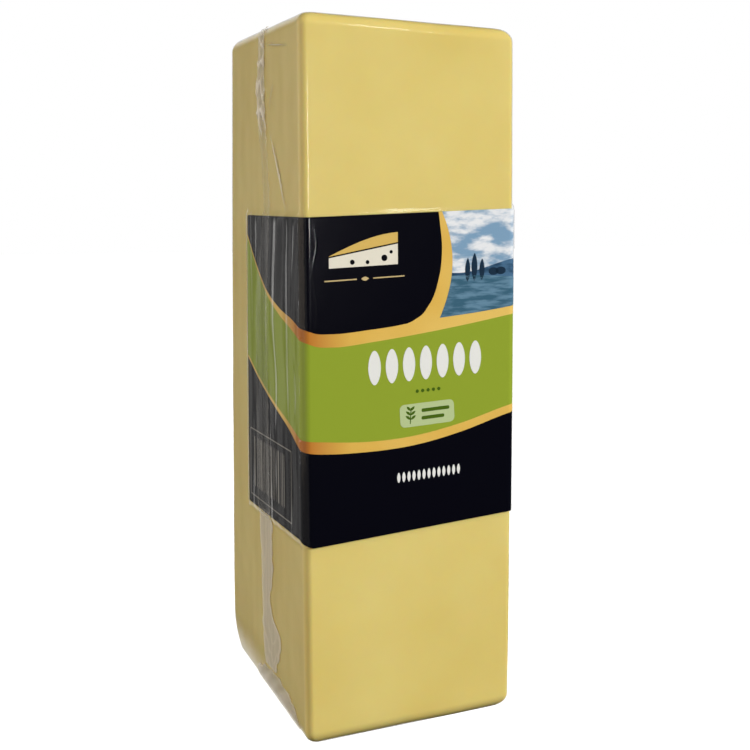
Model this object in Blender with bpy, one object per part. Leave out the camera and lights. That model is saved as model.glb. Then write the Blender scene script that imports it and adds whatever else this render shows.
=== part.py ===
"""A tall block of cheddar, shrink-wrapped in clear film with a printed label band, standing on end.

The front of the block looks along -Y and its left face along -X. Sizes are in metres, with +Z up
and the origin in the middle of the foot.
"""

import bmesh
import bpy
import numpy as np

# Driving sizes of the wrapped block
WIDTH = 0.0956
DEPTH = 0.1002
HEIGHT = 0.2963
TAPER = 0.0100
SWELL = 0.0004
EDGE_R = 0.0030
TOP_R = 0.0055
FOOT_R = 0.0070
TOP_LEAN_X = -0.0093
TOP_LEAN_Y = 0.0300

# Sag of the block: its rear draws in at the top and spreads at the foot, its right side draws in at
# the top, and its rear foot edges are rounded off sideways up to a height. The shift keeps it centred.
REAR_DRAW = 0.0046
RIGHT_DRAW = 0.0014
REAR_NARROW = 0.0010
FOOT_DRAW = 0.0058
FOOT_DRAW_HEIGHT = 0.0290
SHIFT_Y = -0.0018

# Clearance between one layer of the wrapping and the next
GAP = 0.0003

# Label band: its height at the middle of the front, its lean, and where it ends on the sides
LABEL_THICKNESS = 0.00035
LABEL_TOP = 0.2207
LABEL_FOOT = 0.0890
LABEL_TOP_LEAN = 0.0475
LABEL_FOOT_LEAN = 0.0630
LABEL_TURN = 0.0450
LABEL_SIDE_STEP = 0.0027
LABEL_SIDE_STEP_LENGTH = 0.0060
LABEL_END_Y = 0.0206
LABEL_CORNER_R = 0.0012

# Fin seam down the left face, as (height, place along Y, half width)
SEAM_THICKNESS = 0.00045
SEAM_COURSE = (
    (0.0180, -0.0058, 0.0068),
    (0.0280, -0.0080, 0.0106),
    (0.0360, -0.0086, 0.0120),
    (0.0430, -0.0034, 0.0070),
    (0.0630, -0.0031, 0.0076),
    (0.0810, -0.0023, 0.0084),
    (0.1450, -0.0009, 0.0082),
    (0.1850, -0.0014, 0.0076),
    (0.2220, -0.0078, 0.0042),
    (0.2460, -0.0040, 0.0046),
    (0.2620, -0.0002, 0.0058),
    (0.2830, -0.0008, 0.0046),
    (0.2940, -0.0026, 0.0036),
)
SEAM_RISE = 0.0022
SEAM_OVER_TOP = 1.40
SEAM_RIPPLE = 0.0006
SEAM_WAVES = (310.0, 97.0)
SEAM_CROWN = 0.6
SEAM_EASING = 3

# Fold of spare film round the foot of the left face, below the seam: half an ellipse
FOLD_THICKNESS = 0.0004
FOLD_MIDDLE_Y = -0.0110
FOLD_HALF_LENGTH = 0.0310
FOLD_ENDS = 0.97
FOLD_LOW = 0.0030
FOLD_HIGH = 0.0170
FOLD_RIPPLE = 0.0003
FOLD_WAVES = 420.0

# Crimped end seal, pressed flat on the top
END_SEAL_LENGTH = 0.0640
END_SEAL_WIDTH = 0.0130
END_SEAL_THICKNESS = 0.0006
END_SEAL_X = 0.0080
END_SEAL_TEETH = 0.00025

# Fineness of the solids
CORNER_STEPS = 8
ROUND_STEPS = 6
WALL_STEPS = 8
FOOT_STEPS = 6
SIDE_STEPS = 4
LABEL_ROWS = 9
LABEL_SPANS = 6
LABEL_CORNER_STEPS = 5
SEAM_ROWS = 62
STRIP_COLUMNS = 5
FOLD_COLUMNS = 25
FOLD_ROWS = 9
END_SEAL_ROWS = 65

# Edges that turn by more than this many radians stay sharp in the shading
SHARP_EDGE = 0.9
SHARP_LABEL_EDGE = 0.6


def corner_arc(z):
    """Length of the outline's straight half front and of one rounded corner at height z."""
    half_front = half_size(WIDTH, z) - EDGE_R
    return half_front, EDGE_R * np.pi / 2


def half_size(full, z):
    """Half of a width or depth at height z, with the taper and the slight swell of the sides."""
    rise = z / HEIGHT
    taper = 1.0 - TAPER * (rise - 0.5)
    return 0.5 * full * taper + SWELL * (1.0 - (2.0 * rise - 1.0) ** 2)


def side_place(y):
    """Distance round the outline, from the middle of the front, of a place y on a side face."""
    half_front, arc = corner_arc(HEIGHT / 2)
    return half_front + arc + y + half_size(DEPTH, HEIGHT / 2) - EDGE_R


def settled(points):
    """The block as it stands: its top slopes, its rear tapers and its rear foot edges are rounded off.

    Heights grow with the top's slope, by its share at their level. Places towards the rear move
    forwards and inwards near the top, and back and outwards near the foot. Places towards the right
    move left with their height. Close to the foot the rear sides also draw in, with the square of
    the distance below a height.
    """
    x, y, z = np.moveaxis(points, -1, 0)
    rise = z / HEIGHT
    back = y / DEPTH + 0.5
    tilt = 2.0 * rise - 1.0
    below = np.clip(1.0 - z / FOOT_DRAW_HEIGHT, 0.0, 1.0)
    inward = (REAR_NARROW * tilt + FOOT_DRAW * below**2) * back
    slope = TOP_LEAN_X * x + TOP_LEAN_Y * y
    moved_x = x - inward * np.clip(2.0 * x / WIDTH, -1.0, 1.0) - RIGHT_DRAW * (x / WIDTH + 0.5) * rise
    moved_y = y - REAR_DRAW * back * tilt + SHIFT_Y
    return np.stack([moved_x, moved_y, z + slope * np.clip(rise, 0.0, None)], axis=-1)


def wall_profile(climb):
    """Inset, height and normal of the wall at a distance climbed up it.

    The wall starts in a quarter circle at the foot, runs straight up and ends in another quarter
    circle at the top. Heights on the straight stretch equal the distance climbed.
    """
    low = np.clip((FOOT_R - climb) / FOOT_R, 0.0, np.pi / 2)
    high = np.clip((climb - HEIGHT + TOP_R) / TOP_R, 0.0, np.pi / 2)
    inset = FOOT_R * (1.0 - np.cos(low)) + TOP_R * (1.0 - np.cos(high))
    straight = np.clip(climb, FOOT_R, HEIGHT - TOP_R)
    z = straight - FOOT_R * np.sin(low) + TOP_R * np.sin(high)
    out = np.cos(low) * np.cos(high)
    up = np.sin(high) - np.sin(low)
    return inset, z, out, up


def skin(around, climb, lift):
    """Points over the walls of the block.

    around is the distance round from the middle of the front, right positive, on the front, one
    corner and the side behind it. climb is the distance up the wall, and lift the height above it.
    """
    inset, z, out, up = wall_profile(climb)
    half_front, arc = corner_arc(z)
    half_front = half_front - inset
    half_side = half_size(DEPTH, z) - inset - EDGE_R
    side = np.sign(around)
    past = np.abs(around) - half_front
    turn = np.clip(past / arc, 0.0, 1.0) * np.pi / 2
    x = np.minimum(np.abs(around), half_front) + EDGE_R * np.sin(turn)
    y = -half_side - EDGE_R * np.cos(turn) + np.clip(past - arc, 0.0, None)
    x = x + lift * out * np.sin(turn)
    y = y - lift * out * np.cos(turn)
    points = np.stack(np.broadcast_arrays(side * x, y, z + lift * up), axis=-1)
    return settled(points)


def outline(climb):
    """One closed ring round the block, counter-clockwise from above, at one height."""
    inset, z, _, _ = wall_profile(np.array(climb))
    half_x = half_size(WIDTH, z) - inset - EDGE_R
    half_y = half_size(DEPTH, z) - inset - EDGE_R
    ring = []
    for corner in range(4):
        angle = (np.arange(CORNER_STEPS + 1) / CORNER_STEPS + corner) * np.pi / 2
        centre_x = half_x * (1 if corner in (0, 3) else -1)
        centre_y = half_y * (1 if corner in (0, 1) else -1)
        arc = np.stack([centre_x + EDGE_R * np.cos(angle), centre_y + EDGE_R * np.sin(angle)], axis=1)
        ring.append(arc)
    flat = []
    for corner in range(4):
        start, end = ring[corner][-1], ring[(corner + 1) % 4][0]
        share = (np.arange(1, SIDE_STEPS) / SIDE_STEPS)[:, None]
        flat.extend((ring[corner], start + (end - start) * share))
    flat = np.concatenate(flat)
    return settled(np.column_stack([flat, np.full(len(flat), z)]))


def add_object(name, mesh_data, material, sharp_angle):
    """A named object from a bmesh, with its material and smooth shading up to an angle."""
    bmesh.ops.recalc_face_normals(mesh_data, faces=mesh_data.faces)
    mesh = bpy.data.meshes.new(name)
    mesh_data.to_mesh(mesh)
    mesh_data.free()
    mesh.materials.append(material)
    mesh.shade_smooth()
    mesh.set_sharp_from_angle(angle=sharp_angle)
    piece = bpy.data.objects.new(name, mesh)
    bpy.context.collection.objects.link(piece)
    return piece


def ring_solid(rings):
    """A closed body from stacked rings, with a flat face at each end."""
    body = bmesh.new()
    loops = [[body.verts.new(point) for point in ring] for ring in rings]
    for lower, upper in zip(loops, loops[1:]):
        for i, here in enumerate(lower):
            after = (i + 1) % len(lower)
            body.faces.new((here, lower[after], upper[after], upper[i]))
    body.faces.new(loops[0][::-1])
    body.faces.new(loops[-1])
    return body


def sheet_solid(inner, outer):
    """A closed thin body between two grids of points of the same size."""
    body = bmesh.new()
    rows, columns = inner.shape[:2]
    low = [[body.verts.new(point) for point in row] for row in inner]
    high = [[body.verts.new(point) for point in row] for row in outer]
    for i in range(rows - 1):
        for j in range(columns - 1):
            body.faces.new((high[i][j], high[i][j + 1], high[i + 1][j + 1], high[i + 1][j]))
            body.faces.new((low[i][j], low[i + 1][j], low[i + 1][j + 1], low[i][j + 1]))
    border = [(0, j) for j in range(columns - 1)]
    border += [(i, columns - 1) for i in range(rows - 1)]
    border += [(rows - 1, j) for j in range(columns - 1, 0, -1)]
    border += [(i, 0) for i in range(rows - 1, 0, -1)]
    for (i, j), (k, m) in zip(border, border[1:] + border[:1]):
        body.faces.new((high[i][j], low[i][j], low[k][m], high[k][m]))
    return body


def finish(name, colour, roughness):
    """A plain material in the part's own colour."""
    material = bpy.data.materials.new(name)
    material.use_nodes = True
    shader = material.node_tree.nodes["Principled BSDF"]
    shader.inputs["Base Color"].default_value = (*colour, 1.0)
    shader.inputs["Roughness"].default_value = roughness
    shader.inputs["Metallic"].default_value = 0.0
    return material


def label_edges(around):
    """Top and bottom heights of the label at a distance round from the middle of the front.

    Both edges lean on the front and run level on the sides, where the left foot edge steps up.
    """
    front = np.clip(around, -LABEL_TURN, LABEL_TURN)
    left = np.clip((-around - LABEL_TURN) / LABEL_SIDE_STEP_LENGTH, 0.0, 1.0)
    top = LABEL_TOP + LABEL_TOP_LEAN * front
    foot = LABEL_FOOT + LABEL_FOOT_LEAN * front + LABEL_SIDE_STEP * left
    return top, foot


def cheese_block():
    """The wrapped block: rounded at every edge, a little narrower and sloping at the top."""
    low = FOOT_R - FOOT_R * np.linspace(np.pi / 2, 0.0, ROUND_STEPS + 1)
    high = HEIGHT - TOP_R + TOP_R * np.linspace(0.0, np.pi / 2, ROUND_STEPS + 1)
    foot = np.linspace(low[-1], FOOT_DRAW_HEIGHT, FOOT_STEPS + 1)[1:]
    wall = np.linspace(foot[-1], high[0], WALL_STEPS + 1)[1:-1]
    rings = [outline(climb) for climb in np.concatenate([low, foot, wall, high])]
    material = finish("cheddar_in_film", (0.71, 0.53, 0.18), 0.22)
    return add_object("cheese_block", ring_solid(rings), material, SHARP_EDGE)


def label_band():
    """The printed band: from the left face round the front to the right face, rounded at its ends."""
    half_front, arc = corner_arc(HEIGHT / 2)
    end = side_place(LABEL_END_Y)
    corner = half_front + arc * np.linspace(0.0, 1.0, CORNER_STEPS + 1)
    side = np.linspace(corner[-1], end - LABEL_CORNER_R, LABEL_SPANS)[1:]
    quarter = np.linspace(0.0, np.pi / 2, LABEL_CORNER_STEPS)[1:]
    rounding = end - LABEL_CORNER_R + LABEL_CORNER_R * np.sin(quarter)
    right = np.concatenate([np.linspace(0.0, half_front, LABEL_SPANS)[1:-1], corner, side, rounding])
    around = np.concatenate([-right[::-1], [0.0], right])
    top, foot = label_edges(around)
    past = np.clip((np.abs(around) - end) / LABEL_CORNER_R + 1.0, 0.0, 1.0)
    cut = LABEL_CORNER_R * (1.0 - np.sqrt(1.0 - past**2))
    share = np.linspace(0.0, 1.0, LABEL_ROWS)[:, None]
    climb = (foot + cut) + (top - foot - 2 * cut) * share
    inner = skin(around, climb, GAP)
    outer = skin(around, climb, GAP + LABEL_THICKNESS)
    material = finish("printed_label", (0.02, 0.02, 0.03), 0.25)
    return add_object("label_band", sheet_solid(inner, outer), material, SHARP_LABEL_EDGE)


def film_seam():
    """The fin seam: a crumpled strip folded flat down the left face, over the label.

    Its middle and width follow the course's points, smoothed, with a ripple of two sine waves. It
    climbs onto the label by a smooth step, so that it lies one gap clear of what is under it.
    """
    course = np.array(SEAM_COURSE)
    over = HEIGHT - TOP_R + TOP_R * np.linspace(0.0, SEAM_OVER_TOP, ROUND_STEPS + 1)
    climb = np.concatenate([np.linspace(course[0, 0], over[0], SEAM_ROWS), over[1:]])
    ease = np.array([0.25, 0.5, 0.25])
    ripple = np.sin(climb * SEAM_WAVES[0]) * np.sin(climb * SEAM_WAVES[1] + 1.0)
    middle, half = (np.interp(climb, course[:, 0], course[:, k]) for k in (1, 2))
    for line in (middle, half):
        for _ in range(SEAM_EASING):
            line[1:-1] = np.convolve(line, ease, mode="valid")
    half = half + SEAM_RIPPLE * ripple
    across = np.linspace(-1.0, 1.0, STRIP_COLUMNS)
    around = -side_place(middle[:, None] + half[:, None] * across)
    top, foot = label_edges(around)
    height = climb[:, None] + np.zeros_like(around)
    outside = np.maximum(foot - height, height - top)
    step = np.clip(1.0 - (outside - GAP) / SEAM_RISE, 0.0, 1.0)
    step = step**2 * (3.0 - 2.0 * step)
    base = GAP + (LABEL_THICKNESS + GAP) * step
    crown = SEAM_THICKNESS * (1.0 + SEAM_CROWN * np.abs(ripple[:, None]) * (1.0 - across**2))
    inner = skin(around, height, base)
    outer = skin(around, height, base + crown)
    material = finish("crumpled_film", (0.62, 0.52, 0.34), 0.3)
    return add_object("film_seam", sheet_solid(inner, outer), material, SHARP_EDGE)


def foot_fold():
    """Spare film folded forward round the foot of the left face, clear of what the block stands on."""
    share = np.sin(np.linspace(-1.0, 1.0, FOLD_COLUMNS) * np.arcsin(FOLD_ENDS))
    y = FOLD_MIDDLE_Y + FOLD_HALF_LENGTH * share
    high = FOLD_LOW + (FOLD_HIGH - FOLD_LOW) * np.sqrt(1.0 - share**2)
    high = high + FOLD_RIPPLE * np.sin(y * FOLD_WAVES)
    across = np.linspace(0.0, 1.0, FOLD_ROWS)
    climb = FOLD_LOW + (high[:, None] - FOLD_LOW) * across
    around = -side_place(y[:, None]) + np.zeros_like(climb)
    inner = skin(around, climb, GAP)
    outer = skin(around, climb, GAP + FOLD_THICKNESS)
    material = finish("folded_film", (0.62, 0.52, 0.34), 0.3)
    return add_object("foot_fold", sheet_solid(inner, outer), material, SHARP_EDGE)


def end_seal():
    """The crimped seal across the top, pressed flat, with fine teeth along it."""
    along = np.linspace(-0.5, 0.5, END_SEAL_ROWS) * END_SEAL_LENGTH
    across = np.linspace(-0.5, 0.5, STRIP_COLUMNS) * END_SEAL_WIDTH
    x = END_SEAL_X + across + np.zeros((len(along), 1))
    y = along[:, None] + np.zeros_like(x)
    teeth = END_SEAL_TEETH * (1.0 + np.cos(np.arange(len(along)) * np.pi))[:, None] / 2
    low = np.stack([x, y, HEIGHT + GAP + np.zeros_like(x)], axis=-1)
    high = np.stack([x, y, HEIGHT + GAP + END_SEAL_THICKNESS + teeth + np.zeros_like(x)], axis=-1)
    material = finish("crimped_film", (0.66, 0.56, 0.36), 0.3)
    return add_object("end_seal", sheet_solid(settled(low), settled(high)), material, SHARP_EDGE)


def main():
    """Clears the scene and builds the block, its label and the folds of its film."""
    for old in list(bpy.data.objects):
        bpy.data.objects.remove(old, do_unlink=True)
    cheese_block()
    label_band()
    film_seam()
    foot_fold()
    end_seal()


main()
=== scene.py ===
"""The looks of a tall block of cheddar in clear film with a printed label band.

The front of the block looks along -Y and its left face along -X. Lengths are in metres, or in
millimetres where a name ends in _mm. Every piece is made where it belongs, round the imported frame.
"""

import logging
from collections.abc import Callable, Sequence
from dataclasses import dataclass
from enum import Enum
from typing import Any

import bpy
import numpy as np
from mathutils import Matrix


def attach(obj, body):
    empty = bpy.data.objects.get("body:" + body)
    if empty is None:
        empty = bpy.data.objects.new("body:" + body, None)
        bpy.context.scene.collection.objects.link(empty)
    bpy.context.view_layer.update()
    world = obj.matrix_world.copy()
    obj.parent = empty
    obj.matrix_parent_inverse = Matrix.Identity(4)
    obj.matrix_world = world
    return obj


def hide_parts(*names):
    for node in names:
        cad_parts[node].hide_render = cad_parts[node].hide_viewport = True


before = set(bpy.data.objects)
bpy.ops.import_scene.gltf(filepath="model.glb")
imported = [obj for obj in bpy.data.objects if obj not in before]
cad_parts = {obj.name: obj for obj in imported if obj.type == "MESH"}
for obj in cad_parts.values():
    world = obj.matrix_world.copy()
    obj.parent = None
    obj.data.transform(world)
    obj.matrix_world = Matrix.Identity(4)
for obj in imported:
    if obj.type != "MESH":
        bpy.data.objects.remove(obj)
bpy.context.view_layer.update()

BODY = "root"
MM = 0.001
LOG = logging.getLogger("cheddar_block")

Array = np.ndarray
Curve = Callable[[Array], Array]
Relief = Callable[[Array, Array], Array]
Tree = bpy.types.NodeTree
Socket = bpy.types.NodeSocket
Ramp = tuple[float, float, float, float]


# Small tools


def linear(code: str, alpha: float = 1.0) -> tuple[float, float, float, float]:
    """Turns an sRGB hex colour to linear light.

    Args:
        code: Six hex digits, such as "E0C97C".
        alpha: The fourth value of the result.

    Returns:
        Linear red, green and blue, with alpha.
    """
    srgb = np.array([int(code[i:i + 2], 16) for i in (0, 2, 4)]) / 255.0
    light = np.where(srgb <= 0.04045, srgb / 12.92, ((srgb + 0.055) / 1.055) ** 2.4)
    return (*(float(value) for value in light), alpha)


def add_node(tree: Tree, kind: str, settings: dict[str, Any] | None = None, **inputs: Any) -> bpy.types.Node:
    """Adds a shader node with its settings and inputs.

    Args:
        tree: The material's or world's node tree.
        kind: The node's type name.
        settings: Values by attribute name.
        inputs: By input name, with an underscore for a space, another node's output to link or a
            constant to set. A name such as in_1 stands for input number 1.

    Returns:
        The new node.
    """
    node = tree.nodes.new(kind)
    for key, value in (settings or {}).items():
        setattr(node, key, value)
    for key, value in inputs.items():
        socket = node.inputs[int(key[3:]) if key.startswith("in_") else key.replace("_", " ")]
        if isinstance(value, Socket):
            tree.links.new(value, socket)
        else:
            socket.default_value = value
    return node


def own_place(tree: Tree) -> Socket:
    """The place on the piece itself, in metres."""
    return add_node(tree, "ShaderNodeTexCoord").outputs["Object"]


def noise(tree: Tree, place: Socket, size_mm: float, detail: float) -> Socket:
    """A soft random pattern from 0 to 1, in patches of about size_mm."""
    node = add_node(tree, "ShaderNodeTexNoise", Vector=place, Scale=1 / (size_mm * MM), Detail=detail)
    return node.outputs["Fac"]


def ranged(tree: Tree, value: Socket, start: float, end: float, low: float = 0.0, high: float = 1.0,
           kind: str = "LINEAR") -> Socket:
    """Maps a value so that start gives low and end gives high, level past both."""
    return add_node(tree, "ShaderNodeMapRange", {"interpolation_type": kind}, Value=value, From_Min=start,
                    From_Max=end, To_Min=low, To_Max=high).outputs[0]


def computed(tree: Tree, operation: str, first: Socket, second: Socket | float) -> Socket:
    """Two values, or a value and a constant, joined by an operation such as MULTIPLY."""
    return add_node(tree, "ShaderNodeMath", {"operation": operation}, in_0=first, in_1=second).outputs[0]


def mixed(tree: Tree, share: Any, first: Any, second: Any, kind: str = "RGBA", blend: str = "MIX") -> Socket:
    """Mixes two colours or, with the kind FLOAT, two values: the first at a share of 0, the second at 1."""
    low, high, out = (6, 7, 2) if kind == "RGBA" else (2, 3, 0)
    sources = {"in_0": share, f"in_{low}": first, f"in_{high}": second}
    return add_node(tree, "ShaderNodeMix", {"data_type": kind, "blend_type": blend}, **sources).outputs[out]


def layered(tree: Tree, share: Any, first: Socket, second: Socket) -> Socket:
    """Mixes two shaders: the first at a share of 0, the second at 1."""
    return add_node(tree, "ShaderNodeMixShader", Fac=share, in_1=first, in_2=second).outputs[0]


def new_material(name: str) -> tuple[bpy.types.Material, Tree, Socket]:
    """Makes an empty node material.

    Args:
        name: What the material is called.

    Returns:
        The material, its node tree and the input that takes its shader.
    """
    material = bpy.data.materials.new(name)
    material.use_nodes = True
    tree = material.node_tree
    tree.nodes.clear()
    return material, tree, add_node(tree, "ShaderNodeOutputMaterial").inputs["Surface"]


def smooth_step(value: Array, low: float, high: float) -> Array:
    """Rises smoothly from 0 at low to 1 at high, by the cubic 3t^2 - 2t^3."""
    t = np.clip((value - low) / (high - low), 0.0, 1.0)
    return t * t * (3.0 - 2.0 * t)


def bell(value: Array, place: float | Array, width: float) -> Array:
    """A bell of height 1 round a place, exp(-t^2), where t is the distance in widths."""
    return np.exp(-(((value - place) / width) ** 2))


def smooth_line(points: Sequence[tuple[float, float]], at: Array) -> Array:
    """Reads a smooth curve through a few points.

    The curve is a cubic between each two points, with the slope at a point taken from the points on
    its two sides, so it passes through every point without a corner.

    Args:
        points: Pairs of place and value, in rising order of place.
        at: Places to read.

    Returns:
        The curve's value at each place, held level past the ends.
    """
    place, value = np.array(points, float).T
    slope = np.gradient(value, place)
    at = np.clip(at, place[0], place[-1])
    i = np.clip(np.searchsorted(place, at) - 1, 0, len(place) - 2)
    step = place[i + 1] - place[i]
    t = (at - place[i]) / step
    start = value[i] * (1 + 2 * t) * (1 - t) ** 2 + slope[i] * step * t * (1 - t) ** 2
    end = value[i + 1] * t * t * (3 - 2 * t) - slope[i + 1] * step * t * t * (1 - t)
    return start + end


def waves(u: Array, v: Array, seed: int, count: int = 16) -> Array:
    """A smooth random field whose features are about one unit across.

    It is a sum of plane waves in random directions, with wavelengths from 0.7 to 1.5 units and
    random phases, divided so that its spread is about 1.

    Args:
        u: First coordinate, in units of the feature size.
        v: Second coordinate, in the same units.
        seed: Seed of the random draw.
        count: Number of waves.

    Returns:
        The field at each place.
    """
    draw = np.random.default_rng(seed)
    field = np.zeros(np.broadcast(u, v).shape)
    for angle, size, phase in draw.uniform((0.0, 0.7, 0.0), (np.pi, 1.5, 2 * np.pi), (count, 3)):
        field += np.cos(2 * np.pi / size * (u * np.cos(angle) + v * np.sin(angle)) + phase)
    return field / np.sqrt(count / 2)


# Meshes


@dataclass(frozen=True)
class Surface:
    """Points with the faces between them, before they become a mesh.

    veil says how milky a film is at each point, from 0 for clear to 1 for white, and -1 where its
    hidden side clings to the film below and so has no sheen of its own.
    """

    points: Array
    faces: list[list[int]]
    veil: Array | None = None

    def object(self, name: str, material: bpy.types.Material, slot: str) -> bpy.types.Object:
        """Makes the mesh object, which rides on the block.

        Args:
            name: The piece's name.
            material: Its material.
            slot: The record's material slot for the piece; not used.

        Returns:
            The object, at the origin.
        """
        mesh = bpy.data.meshes.new(name)
        mesh.from_pydata(self.points.tolist(), [], self.faces)
        mesh.shade_smooth()
        mesh.set_sharp_from_angle(angle=np.radians(50.0))
        mesh.materials.append(material)
        if self.veil is not None:
            mesh.attributes.new("veil", "FLOAT", "POINT").data.foreach_set("value", self.veil)
        piece = bpy.data.objects.new(name, mesh)
        bpy.context.scene.collection.objects.link(piece)
        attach(piece, BODY)
        return piece


def grid_faces(index: Array) -> Array:
    """The four-sided faces of a grid of point numbers, facing out where rows climb and columns go right."""
    return np.stack([index[:-1, :-1], index[:-1, 1:], index[1:, 1:], index[1:, :-1]], axis=-1).reshape(-1, 4)


def thin_body(inner: Array, outer: Array, veil: Array | None = None) -> Surface:
    """A closed thin body between two grids, joined by a wall round their border.

    Args:
        inner: Grid of points of the hidden side, rows by columns by 3.
        outer: Grid of points of the visible side, of the same size.
        veil: How milky each point of the visible side is.

    Returns:
        The closed surface.
    """
    rows, columns = outer.shape[:2]
    index = np.arange(rows * columns).reshape(rows, columns)
    rim = np.concatenate([index[0, :-1], index[:-1, -1], index[-1, :0:-1], index[:0:-1, 0]])
    after = np.roll(rim, -1)
    hidden = rows * columns
    wall = np.stack([rim, rim + hidden, after + hidden, after], axis=1)
    faces = np.concatenate([grid_faces(index), grid_faces(index)[:, ::-1] + hidden, wall])
    if veil is not None:
        veil = np.concatenate([np.clip(veil, -1.0, 1.0).ravel(), np.full(hidden, -1.0)])
    return Surface(np.concatenate([outer.reshape(-1, 3), inner.reshape(-1, 3)]), faces.tolist(), veil)


def closed_skin(rings: Array) -> Surface:
    """A closed skin from rings stacked foot to top, with a fan of triangles closing each end.

    Args:
        rings: Points, rings by columns by 3. The end rings are small and close round a middle point.

    Returns:
        The closed surface.
    """
    count, columns = rings.shape[:2]
    index = np.arange(count * columns).reshape(count, columns)
    sides = grid_faces(np.concatenate([index, index[:, :1]], axis=1))
    foot, top = count * columns, count * columns + 1
    low = np.stack([np.roll(index[0], -1), index[0], np.full(columns, foot)], axis=1)
    high = np.stack([index[-1], np.roll(index[-1], -1), np.full(columns, top)], axis=1)
    points = np.concatenate([rings.reshape(-1, 3), rings[:1].mean(axis=1), rings[-1:].mean(axis=1)])
    return Surface(points, sides.tolist() + low.tolist() + high.tolist())


def joined(parts: Sequence[Surface]) -> Surface:
    """Several surfaces as one, each keeping its own faces."""
    starts = np.cumsum([0] + [len(part.points) for part in parts])
    faces = [[corner + int(start) for corner in face]
             for part, start in zip(parts, starts) for face in part.faces]
    points = np.concatenate([part.points for part in parts])
    veils = [part.veil for part in parts if part.veil is not None]
    return Surface(points, faces, np.concatenate(veils) if veils else None)


# The block's form


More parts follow.
